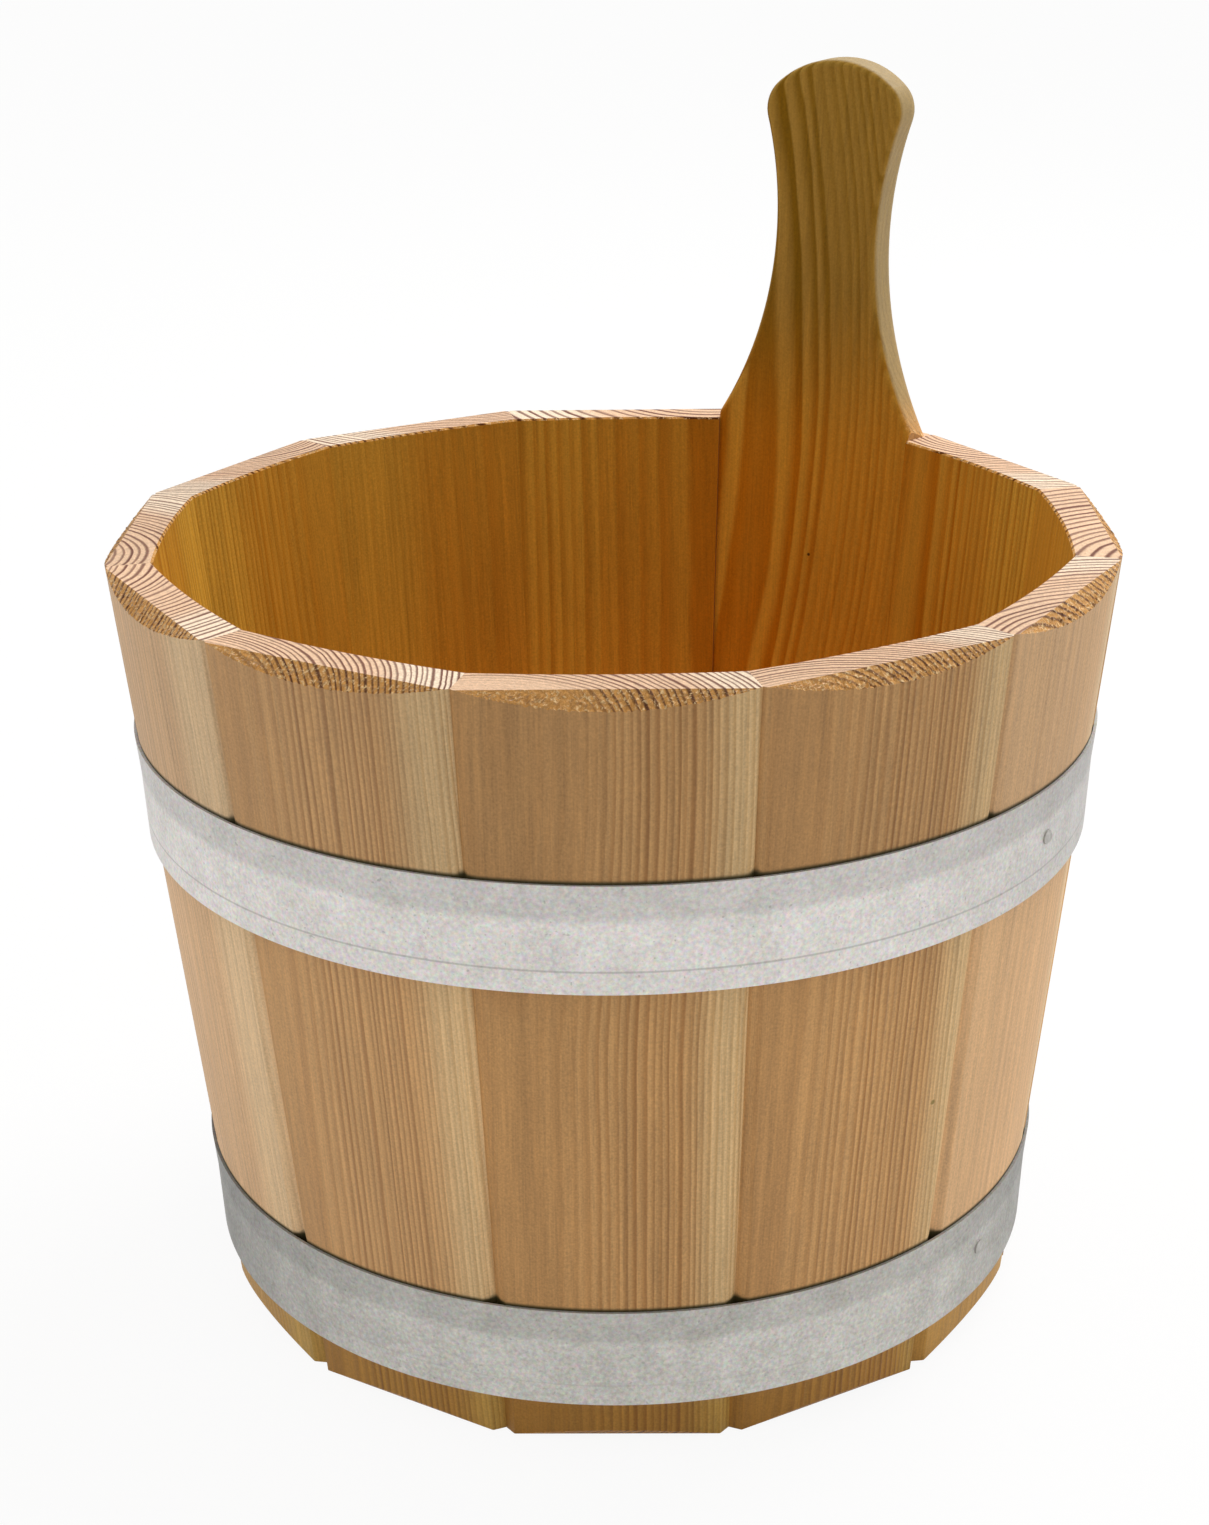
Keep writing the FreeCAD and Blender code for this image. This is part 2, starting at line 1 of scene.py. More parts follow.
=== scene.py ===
from math import atan, cos, degrees, radians, sin
import bmesh
import bpy
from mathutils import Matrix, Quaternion, Vector, noise


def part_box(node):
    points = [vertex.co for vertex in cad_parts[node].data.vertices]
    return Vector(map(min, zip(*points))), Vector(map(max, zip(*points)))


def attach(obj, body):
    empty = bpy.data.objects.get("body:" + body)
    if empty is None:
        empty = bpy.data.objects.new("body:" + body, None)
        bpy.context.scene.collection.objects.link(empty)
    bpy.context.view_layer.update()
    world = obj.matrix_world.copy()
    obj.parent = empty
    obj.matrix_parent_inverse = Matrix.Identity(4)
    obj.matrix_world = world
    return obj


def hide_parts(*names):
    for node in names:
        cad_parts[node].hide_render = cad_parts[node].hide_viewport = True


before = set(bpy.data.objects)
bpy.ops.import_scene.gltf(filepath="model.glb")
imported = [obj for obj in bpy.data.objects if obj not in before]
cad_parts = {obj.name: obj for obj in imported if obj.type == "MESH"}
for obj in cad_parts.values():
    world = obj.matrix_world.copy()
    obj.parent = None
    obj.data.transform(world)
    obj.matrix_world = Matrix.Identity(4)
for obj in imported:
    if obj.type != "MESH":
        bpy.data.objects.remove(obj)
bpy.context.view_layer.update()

# Sizes of the bucket that the finishes follow, in millimetres and degrees
STAVE_STEP = 30
CROWN_AT_FOOT = 105.4
CROWN_AT_RIM = 125.0
WALL_HEIGHT = 196.5
STAVE_LEAN = degrees(atan((CROWN_AT_RIM - CROWN_AT_FOOT) / WALL_HEIGHT))
FACE_DEPTH = CROWN_AT_FOOT * cos(radians(STAVE_LEAN))
STAVE_THICKNESS = 14.2
RIM_BEVEL = 4.0
RIM_EDGE = 0.5
FOOT_BEVEL = 2.9
SEAM_DEPTH = (2.0, 0.7)
SEAM_WIDTH_AT_FOOT = 5.4
SEAM_SLOPE = 2 * SEAM_DEPTH[0] / SEAM_WIDTH_AT_FOOT
CROZE_HEIGHTS = (14.9, 25.1)
CROZE_RADIUS = 97.0
HOLLOW = 1.5
HOLLOW_AT_JOINT = -0.9
HOOP_WIDTH = 26.5
HOOP_THICKNESS = 0.7
HOOP_CREASE = 17.6
HOOP_CLEARANCE = 0.03
HOOP_STAND_OFF = 0.9
LAP_LENGTH = 34.0
LAP_STEP = 7.0
LAP_GAP = 0.05
LAP_FACING = 90
HOOP_FEET = {name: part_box(name)[0][2] * 1000 for name in ("upper_hoop", "lower_hoop")}
HOOP_TOPS = {name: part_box(name)[1][2] * 1000 for name in ("upper_hoop", "lower_hoop")}


def paint(hex_colour):
    """An sRGB hex colour as the linear colour that the shaders take."""
    parts = [int(hex_colour[place:place + 2], 16) / 255 for place in (1, 3, 5)]
    linear = [part / 12.92 if part <= 0.04045 else ((part + 0.055) / 1.055) ** 2.4 for part in parts]
    return (*linear, 1.0)


def add(tree, kind, inputs=None, give=0, **settings):
    """Adds a node with its settings, sets or links its inputs, and returns one of its outputs."""
    node = tree.nodes.new("ShaderNode" + kind)
    for word, value in settings.items():
        setattr(node, word, value)
    for place, value in (inputs or {}).items():
        if isinstance(value, bpy.types.NodeSocket):
            tree.links.new(value, node.inputs[place])
        else:
            node.inputs[place].default_value = value
    return node.outputs[give]


def new_material(name):
    """An empty material, its tree and its surface input."""
    material = bpy.data.materials.new(name)
    material.use_nodes = True
    tree = material.node_tree
    tree.nodes.clear()
    surface = tree.nodes.new("ShaderNodeOutputMaterial").inputs["Surface"]
    return material, tree, surface


def dress(node, material):
    """Gives a CAD node one material all over."""
    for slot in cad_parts[node].material_slots:
        slot.material = material


def upright(outline, turn):
    """An outline of (radius, height) pairs in mm as points in metres, standing at an angle about the axis."""
    way = radians(turn)
    return [(radius * cos(way) / 1000, radius * sin(way) / 1000, height / 1000) for radius, height in outline]


def join_up(piece, node, sections):
    """A closed solid through a row of like sections, in place of a CAD node."""
    count = len(sections[0])
    points = [point for section in sections for point in section]
    faces = []
    for first in range(0, len(points) - count, count):
        for corner in range(count):
            after = (corner + 1) % count
            faces.append((first + corner, first + after, first + count + after, first + count + corner))
    faces.append(tuple(range(count)))
    faces.append(tuple(range(len(points) - count, len(points))))
    mesh = bpy.data.meshes.new(piece)
    mesh.from_pydata(points, [], faces)
    work = bmesh.new()
    work.from_mesh(mesh)
    bmesh.ops.recalc_face_normals(work, faces=work.faces)
    work.to_mesh(mesh)
    work.free()
    solid = bpy.data.objects.new(piece, mesh)
    bpy.context.scene.collection.objects.link(solid)
    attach(solid, "root")
    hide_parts(node)
    return solid


# The plain staves, cut to the frame's sizes. They are crowned outside and a little hollow inside, so that
# the rim's inner edge is a soft curve. The bevel was sawn across each stave at the rim before they were put
# together: it is widest at the crown, runs out at the joints, and the saw left it ragged.
# COLUMNS and BEVEL_ROWS are how finely a stave is cut. JAGGED and RAGGED are how far the saw's marks reach
# along the bevel's lower edge and on its face (mm), where it is at least FULL_BEVEL wide, and EDGE_MARKS and
# FACE_MARKS are how many marks there are to a degree of the round, coarse and fine.
COLUMNS = 160
BEVEL_ROWS = 9
JAGGED = 0.55
RAGGED = 0.32
FULL_BEVEL = 2.5
LEAST_BEVEL = 0.03
EDGE_MARKS = (1.9, 5.2)
FACE_MARKS = (2.6, 6.5)


def crown(height):
    """Outer radius of the wall at a height, at the middle of a stave."""
    return CROWN_AT_FOOT + (CROWN_AT_RIM - CROWN_AT_FOOT) * height / WALL_HEIGHT


def wall_radius(turn, height):
    """Outer radius of a stave, turn degrees from its middle, with the groove along its joint."""
    to_joint = radians(STAVE_STEP / 2 - abs(turn))
    depth = SEAM_DEPTH[0] + (SEAM_DEPTH[1] - SEAM_DEPTH[0]) * height / WALL_HEIGHT
    groove = (crown(height) - depth) / (cos(to_joint) - SEAM_SLOPE * sin(to_joint))
    return min(crown(height), groove)


def inner_radius(turn, height):
    """Inner radius of a stave there, with its hollow."""
    hollow = HOLLOW_AT_JOINT + HOLLOW * (1 - (2 * turn / STAVE_STEP) ** 2)
    return (crown(height) - STAVE_THICKNESS + hollow) / cos(radians(turn))


def bevel_depth(turn, height, edge, upwards):
    """How far a bevel reaches along the wall from an end at a height, where its edge lies at y = edge."""
    reach = 0.0
    for _ in range(6):
        reach = wall_radius(turn, height + upwards * reach) * cos(radians(turn)) - edge
    return max(reach, LEAST_BEVEL)


def stave_column(turn, seed):
    """The outline of a stave in the upright plane turn degrees from its middle, as (radius, height) pairs."""
    foot_edge = crown(0) - FOOT_BEVEL
    rim_edge = crown(WALL_HEIGHT) - RIM_BEVEL
    foot_reach = bevel_depth(turn, 0, foot_edge, 1)
    rim_reach = bevel_depth(turn, WALL_HEIGHT, rim_edge, -1)
    room = min(rim_reach / FULL_BEVEL, 1.0)
    chip = noise.noise(Vector((turn * EDGE_MARKS[0], seed, 0)))
    chip += 0.6 * noise.noise(Vector((turn * EDGE_MARKS[1], seed, 4)))
    low = WALL_HEIGHT - rim_reach + room * JAGGED * chip
    low_radius = wall_radius(turn, low)
    high_radius = min(rim_edge / cos(radians(turn)), wall_radius(turn, WALL_HEIGHT))
    outline = [(inner_radius(turn, 0), 0.0)]
    outline.append((min(foot_edge / cos(radians(turn)), wall_radius(turn, 0)), 0.0))
    outline.append((wall_radius(turn, foot_reach), foot_reach))
    for row in range(BEVEL_ROWS + 1):
        share = row / BEVEL_ROWS
        rough = noise.noise(Vector((turn * FACE_MARKS[0], seed + 20, row * 0.5)))
        rough += 0.8 * noise.noise(Vector((turn * FACE_MARKS[1], seed + 30, row * 0.9)))
        out = room * RAGGED * rough * (1 - share) ** 0.5 * min(1.0, 0.35 + 3 * share)
        radius = low_radius + (high_radius - low_radius) * share + 0.7 * out
        outline.append((radius, min(low + (WALL_HEIGHT - low) * share + 0.7 * out, WALL_HEIGHT)))
    inside = inner_radius(turn, WALL_HEIGHT)
    outline.append((inside + RIM_EDGE, WALL_HEIGHT))
    outline.append((inside, WALL_HEIGHT - RIM_EDGE))
    outline.append((inner_radius(turn, CROZE_HEIGHTS[1]), CROZE_HEIGHTS[1]))
    outline.append((CROZE_RADIUS, CROZE_HEIGHTS[1]))
    outline.append((CROZE_RADIUS, CROZE_HEIGHTS[0]))
    outline.append((inner_radius(turn, CROZE_HEIGHTS[0]), CROZE_HEIGHTS[0]))
    return outline


def cut_stave(name, facing, seed):
    """One plain stave at its place in the round."""
    turns = [STAVE_STEP * (column / COLUMNS - 0.5) for column in range(COLUMNS + 1)]
    sections = [upright(stave_column(turn, seed), facing + turn) for turn in turns]
    return join_up(f"{name}_cut", name, sections)


# The hoops, bent to the frame's sizes. The lap is behind the handle, under the rivets: the strip's outer end
# steps over its inner end and runs on top of it. Below the crease the strip stands off the wall.
# Edges that turn by more than SHARP stay crisp, such as the crease.
HOOP_TURN_STEP = 1.5
SHARP = radians(2.5)


def strip_section(height, lift):
    """The strip's upright section as (radius, height) pairs, lifted off the staves by a share of a layer."""
    lift = HOOP_CLEARANCE + lift * (HOOP_THICKNESS + LAP_GAP)
    low = crown(height) + HOOP_STAND_OFF + lift
    crease = crown(height + HOOP_CREASE) + lift
    high = crown(height + HOOP_WIDTH) + lift
    top = height + HOOP_WIDTH
    return [(low, height), (low + HOOP_THICKNESS, height), (crease + HOOP_THICKNESS, height + HOOP_CREASE),
            (high + HOOP_THICKNESS, top), (high, top), (crease, height + HOOP_CREASE)]


def bend_hoop(name):
    """One hoop: a single strip from its inner end, once round the staves, and over itself at the lap."""
    height = HOOP_FEET[name]
    per_mm = degrees(1 / (crown(height + HOOP_WIDTH / 2) + HOOP_CLEARANCE))
    lap = LAP_LENGTH * per_mm
    band = 360 - LAP_STEP * per_mm
    start = LAP_FACING - lap / 2
    steps = round(band / HOOP_TURN_STEP)
    sections = [upright(strip_section(height, 0.0), start + band * place / steps)
                for place in range(steps + 1)]
    steps = round(lap / HOOP_TURN_STEP)
    sections += [upright(strip_section(height, 1.0), start + 360 + lap * place / steps)
                 for place in range(steps + 1)]
    strip = join_up(f"{name}_bent", name, sections)
    strip.data.shade_smooth()
    strip.data.set_sharp_from_angle(angle=SHARP)
    return strip


# Larch, planed along the grain and left bare. The heartwood is a warm brown with a darker line at the end
# of each year's growth, and the sapwood along one edge of a board is paler and has fainter lines.
# Sawn across, the same rings show as thin dark lines on pinkish cream, and the slanting saw cut of the
# bevel tears the soft wood between them. Inside, where the wood takes up water, it is a deeper orange.
EARLY = "#C89A63"
LATE = "#8A5826"
LATE_INSIDE = "#B07226"
LATE_NECK = "#9A6F22"
SAP = "#D8B684"
SAP_LINE = "#B48C56"
PALE = "#E0C5A6"
END_EARLY = "#E6BE99"
END_SAP = "#F3DBBE"
END_LATE = "#6A300C"
SAWN_EARLY = "#D0964E"
SAWN_LATE = "#5A2E0A"
TORN = "#F0CC94"
INSIDE = "#FFF088"
NECK = "#D0D296"
NECK_EDGE = "#98845A"
# Painted shade, for the foot near the floor
FOOT_SHADE = "#DCCF90"
# Painted shadow, for the corner above each hoop
GAP_SHADOW = "#2C2A08"

# How large the grain's patches are, in millimetres: the first two sizes across it and the last along it. The
# sways are how far its waves reach, HAND is the breadth that a bow is given for, BEND_FROM and BEND_TO are the
# heights between which the heart comes nearer, and the last three are how gently the lines, their fading and
# the sapwood set in.
FIBRE = (0.5, 0.5, 14.0)
STREAK = (1.6, 1.6, 70.0)
BLOTCH = (24.0, 24.0, 70.0)
TEAR = (0.8, 0.8, 1.5)
SPECKLE = 0.55
SLOW_WAVE = (60.0, 60.0, 260.0)
SLOW_SWAY = 4.0
FINE_WAVE = (8.0, 8.0, 55.0)
FINE_SWAY = 0.9
HAND = 100.0
BEND_FROM = 110.0
BEND_TO = 195.0
SETS_IN = 4.0
FADES_IN = 1.0
SAP_SETS_IN = 5.0

# A year's line on the planed faces and in the sawn ends: when in the year it sets in and when it is full, as
# shares of the year, how much its strength differs from year to year, and its least strength. NEAR_HEART is
# how dark the wood is where its lines are too close to tell apart. EVEN_TONE keeps the grain from changing a
# board's lightness as a whole. PROUD is how far the lines stand out, in metres.
ALONG_GRAIN = (0.12, 0.78, 0.5, 0.4)
ACROSS_GRAIN = (0.4, 0.7, 0.3, 0.75)
LINE_STRENGTH = 0.95
NEAR_HEART = 0.24
EVEN_TONE = 0.86
PROUD = 0.00025

# Heights where the wood's colour changes, and where shade is painted on it, in millimetres
NECK_FROM = WALL_HEIGHT
NECK_TO = WALL_HEIGHT + 12.0
DRIER_FROM = 185.0
DRIER_TO = 240.0
PAINTED_SHADE_FROM = 105.0
PAINTED_SHADE_TO = 155.0
FOOT_FROM = 9.0
FOOT_TO = 22.0

# Each board, in millimetres and degrees:
# facing, the way its outer face looks; None for the bottom's boards, which lie flat
# heart, where the heart of its tree lies from the middle of its outer face, across and outwards
# ring, the width of a year's growth; uneven, how much that differs from year to year
# sap_from, lines_from and faint_from, how far from the heart the sapwood begins and the lines set in and fade
# first, how far from the heart one line ends
# lines, how strong the lines are; lines_outside, the same on the outer face where it differs
# light and pale, how light and how pale the board is
# lean, how far its grain leans
# bow and bow_at, how much the grain bows in a hand's breadth, and at what height
# heart_rise, how much nearer the heart lies at the rim
# mark, a small flaw: its place, its radius and its colour
BOARDS = {
    "handle_stave": dict(facing=90, heart=(-16.6, 29), ring=1.55, sap_from=99, lines=2.2, light=1.22,
                         lines_outside=0.9, bow=11.7, bow_at=205, faint_from=47.0, first=43.24, uneven=0.2,
                         mark=((1.36, 107.2, 160.5), 0.55, "#2E1C06"), seed=3),
    "stave_01": dict(facing=120, heart=(30, 16), ring=3.5, sap_from=45, lines=0.9, light=1.1, lean=0.4,
                     uneven=0.3, seed=11),
    "stave_02": dict(facing=150, heart=(28, 18), ring=1.8, sap_from=46, lines=0.35, light=1.05, lean=-0.4,
                     seed=17),
    "stave_03": dict(facing=180, heart=(27, 17), ring=1.5, sap_from=48, lines=0.8, light=0.97, lean=0.3,
                     seed=23),
    "stave_04": dict(facing=210, heart=(-26, 18), ring=1.9, sap_from=48, lines=0.8, light=0.98, lean=-0.3,
                     seed=29),
    "stave_05": dict(facing=240, heart=(44, 14), ring=2.0, sap_from=61, lines=0.6, light=1.12, pale=0.35,
                     lean=0.3, seed=31),
    "stave_06": dict(facing=270, heart=(28, 27), ring=1.3, sap_from=56, lines=0.95, light=1.1, pale=0.08,
                     lean=-0.3, lines_from=31, seed=37),
    "stave_07": dict(facing=300, heart=(28, 26), ring=1.5, sap_from=55, lines=0.9, light=0.99, lean=0.5,
                     heart_rise=6, lines_from=33, seed=41),
    "stave_08": dict(facing=330, heart=(30, 27), ring=1.45, sap_from=58, lines=0.9, light=0.99, lean=0.2,
                     lines_from=32, mark=((-21.9, 111.3, 80.4), 0.8, "#8A7638"), seed=43),
    "stave_09": dict(facing=0, heart=(28, 29), ring=2.2, sap_from=60, lines=0.35, light=1.05, pale=0.25,
                     lean=-0.4, lines_from=28, seed=47),
    "stave_10": dict(facing=30, heart=(40, 14), ring=3.0, sap_from=80, lines=0.5, light=1.12, lean=0.3,
                     seed=53),
    "stave_11": dict(facing=60, heart=(-26, 16), ring=1.9, sap_from=47, lines=1.2, light=1.14, lean=-0.3,
                     seed=59),
    "bottom_board_left": dict(facing=None, heart=(12, 20), ring=1.8, sap_from=60, lines=0.5, light=0.95,
                              lean=0.5, seed=61),
    "bottom_board_middle": dict(facing=None, heart=(-10, 22), ring=1.7, sap_from=60, lines=0.5, light=0.97,
                                lean=-0.4, seed=67),
    "bottom_board_right": dict(facing=None, heart=(14, 24), ring=1.9, sap_from=60, lines=0.5, light=0.95,
                               lean=0.4, seed=71),
}


def turned_to_front(tree, facing, socket, scale=1.0):
    """A place or a normal of the row frame, turned so that the board's outer face looks along +Y."""
    if facing is None:
        turn = (0, radians(-90), 0)
    else:
        turn = (0, 0, radians(90 - facing))
    return add(tree, "Mapping", {"Vector": socket, "Scale": (scale, scale, scale), "Rotation": turn})


def from_heart(tree, name, facing, heart, lean, front):
    """The place in mm from the heart of the board's tree, with Z along the grain."""
    if facing is None:
        middle = (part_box(name)[0][1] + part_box(name)[1][1]) * 500
        tipped = (0, radians(lean), 0)
        origin = (-heart[1], -middle - heart[0], 0)
    else:
        tipped = (radians(STAVE_LEAN + 0.3 * lean), radians(lean), 0)
        origin = (-heart[0], -FACE_DEPTH - heart[1], 0)
    return add(tree, "Mapping", {"Vector": front, "Rotation": tipped, "Location": origin})


def drawn_out(tree, place, sizes, shift, noise_settings, give=0):
    """Noise whose patches have the given sizes in mm."""
    scale = tuple(1 / size for size in sizes)
    patch = add(tree, "Mapping", {"Vector": place, "Scale": scale, "Location": shift})
    return add(tree, "TexNoise", {"Vector": patch, "Scale": 1.0, **noise_settings}, give=give)


def sway(tree, place, sizes, shift, detail, reach):
    """A wandering of the grain: waves of the given sizes in mm, and how far they reach."""
    wave = drawn_out(tree, place, sizes, shift, {"Detail": detail}, give="Color")
    wave = add(tree, "VectorMath", {0: wave, 1: (0.5, 0.5, 0.5)}, operation="SUBTRACT")
    return add(tree, "VectorMath", {0: wave, "Scale": reach}, operation="SCALE")


def grown(tree, place, bow, bow_at, heart_rise, seed):
    """The same place, drawn off true as a trunk grows: a bow, a bend near the rim, slow and fine waves."""
    along = add(tree, "SeparateXYZ", {0: place}, give="Z")
    bend = add(tree, "Math", {0: along, 1: float(bow_at)}, operation="SUBTRACT")
    bend = add(tree, "Math", {0: bend, 1: HAND}, operation="DIVIDE")
    bend = add(tree, "Math", {0: bend, 1: 2.0}, operation="POWER")
    bend = add(tree, "Math", {0: bend, 1: float(bow)}, operation="MULTIPLY")
    rise = add(tree, "MapRange", {"Value": along, 1: BEND_FROM, 2: BEND_TO, 3: 0.0, 4: float(heart_rise)},
               interpolation_type="SMOOTHSTEP")
    drawn = add(tree, "CombineXYZ", {0: bend, 1: rise})
    slow = sway(tree, place, SLOW_WAVE, (seed, 0, 0), 1.0, SLOW_SWAY)
    fine = sway(tree, place, FINE_WAVE, (0, seed, 0), 2.0, FINE_SWAY)
    moved = add(tree, "VectorMath", {0: place, 1: slow}, operation="ADD")
    moved = add(tree, "VectorMath", {0: moved, 1: fine}, operation="ADD")
    return add(tree, "VectorMath", {0: moved, 1: drawn}, operation="ADD")


def year_rings(tree, trunk, ring, uneven, first, seed):
    """How far a place is from the heart (mm), how far on the year was, and how strong that year's line is."""
    flat = add(tree, "VectorMath", {0: trunk, 1: (1, 1, 0)}, operation="MULTIPLY")
    distance = add(tree, "VectorMath", {0: flat}, give="Value", operation="LENGTH")
    weather = add(tree, "Math", {0: distance, 1: 1 / (4 * ring), 2: float(seed)}, operation="MULTIPLY_ADD")
    weather = add(tree, "TexNoise", {"W": weather, "Scale": 1.0, "Detail": 2.0}, noise_dimensions="1D")
    years = add(tree, "Math", {0: distance, 1: 1 / ring, 2: 100 - first / ring - 1.5 * uneven},
                operation="MULTIPLY_ADD")
    years = add(tree, "Math", {0: weather, 1: 3.0 * uneven, 2: years}, operation="MULTIPLY_ADD")
    season = add(tree, "Math", {0: years}, operation="FRACT")
    year = add(tree, "Math", {0: years}, operation="FLOOR")
    strength = add(tree, "TexWhiteNoise", {"W": year}, noise_dimensions="1D")
    return distance, season, strength


def year_lines(tree, distance, season, strength, lines_from, faint_from):
    """The lines along the grain and in the sawn ends, and how much they show this far from the heart."""
    winter = add(tree, "MapRange", {"Value": season, 1: 0.82, 2: 1.0, 3: 1.0, 4: 0.0},
                 interpolation_type="SMOOTHSTEP")
    shown = add(tree, "MapRange", {"Value": distance, 1: lines_from - SETS_IN, 2: lines_from + SETS_IN,
                                   3: 0.12, 4: 1.0}, interpolation_type="SMOOTHSTEP")
    bold = add(tree, "MapRange", {"Value": distance, 1: faint_from - FADES_IN, 2: faint_from + FADES_IN,
                                  3: 1.0, 4: 0.3}, interpolation_type="SMOOTHSTEP")
    shown = add(tree, "Math", {0: shown, 1: bold}, operation="MULTIPLY")
    lines = []
    for summer, autumn, spread, least in (ALONG_GRAIN, ACROSS_GRAIN):
        line = add(tree, "MapRange", {"Value": season, 1: summer, 2: autumn}, interpolation_type="SMOOTHSTEP")
        line = add(tree, "Math", {0: line, 1: winter}, operation="MULTIPLY")
        weight = add(tree, "Math", {0: strength, 1: spread, 2: least}, operation="MULTIPLY_ADD")
        line = add(tree, "Math", {0: weight, 1: line}, operation="MULTIPLY")
        lines.append(add(tree, "Math", {0: line, 1: shown}, operation="MULTIPLY"))
    return *lines, shown


def hoop_gap_shadow(tree, front, height):
    """Painted shadow in the corner above each hoop, taller over the groove between two staves behind it."""
    across = add(tree, "SeparateXYZ", {0: front}, give="X")
    across = add(tree, "Math", {0: across}, operation="ABSOLUTE")
    outwards = add(tree, "SeparateXYZ", {0: front}, give="Y")
    to_seam = add(tree, "Math", {0: outwards, 1: sin(radians(STAVE_STEP / 2))}, operation="MULTIPLY")
    across = add(tree, "Math", {0: across, 1: cos(radians(STAVE_STEP / 2))}, operation="MULTIPLY")
    to_seam = add(tree, "Math", {0: to_seam, 1: across}, operation="SUBTRACT")
    depth = add(tree, "MapRange", {"Value": to_seam, 1: 0.4, 2: 1.6, 3: 1.15, 4: 0.7},
                interpolation_type="SMOOTHSTEP")
    gap_shadow = None
    for top in HOOP_TOPS.values():
        above = add(tree, "Math", {0: height, 1: top}, operation="SUBTRACT")
        above = add(tree, "Math", {0: above, 1: depth}, operation="DIVIDE")
        upper = add(tree, "MapRange", {"Value": above, 1: 0.4, 2: 1.9, 3: 0.95, 4: 0.0},
                    interpolation_type="SMOOTHSTEP")
        lower = add(tree, "MapRange", {"Value": above, 1: -8.0, 2: -7.0})
        band = add(tree, "Math", {0: upper, 1: lower}, operation="MULTIPLY")
        gap_shadow = band if gap_shadow is None else add(tree, "Math", {0: gap_shadow, 1: band}, operation="MAXIMUM")
    return gap_shadow


def sawn_end(tree, season_line, sap, torn, level, neck):
    """The colour of the wood where it was sawn: the level ends, and the torn bevel below the neck."""
    level_end = add(tree, "Mix", {0: sap, 6: paint(END_EARLY), 7: paint(END_SAP)}, give=2, data_type="RGBA")
    level_end = add(tree, "Mix", {0: season_line, 6: level_end, 7: paint(END_LATE)}, give=2, data_type="RGBA")
    bevel = add(tree, "Mix", {0: season_line, 6: paint(SAWN_EARLY), 7: paint(SAWN_LATE)}, give=2,
                data_type="RGBA")
    chip = add(tree, "MapRange", {"Value": torn, 1: 0.54, 2: 0.64, 4: 0.85})
    chip = add(tree, "Math", {0: chip, 1: neck}, operation="SUBTRACT", use_clamp=True)
    bevel = add(tree, "Mix", {0: chip, 6: bevel, 7: paint(TORN)}, give=2, data_type="RGBA")
    return add(tree, "Mix", {0: level, 6: bevel, 7: level_end}, give=2, data_type="RGBA")


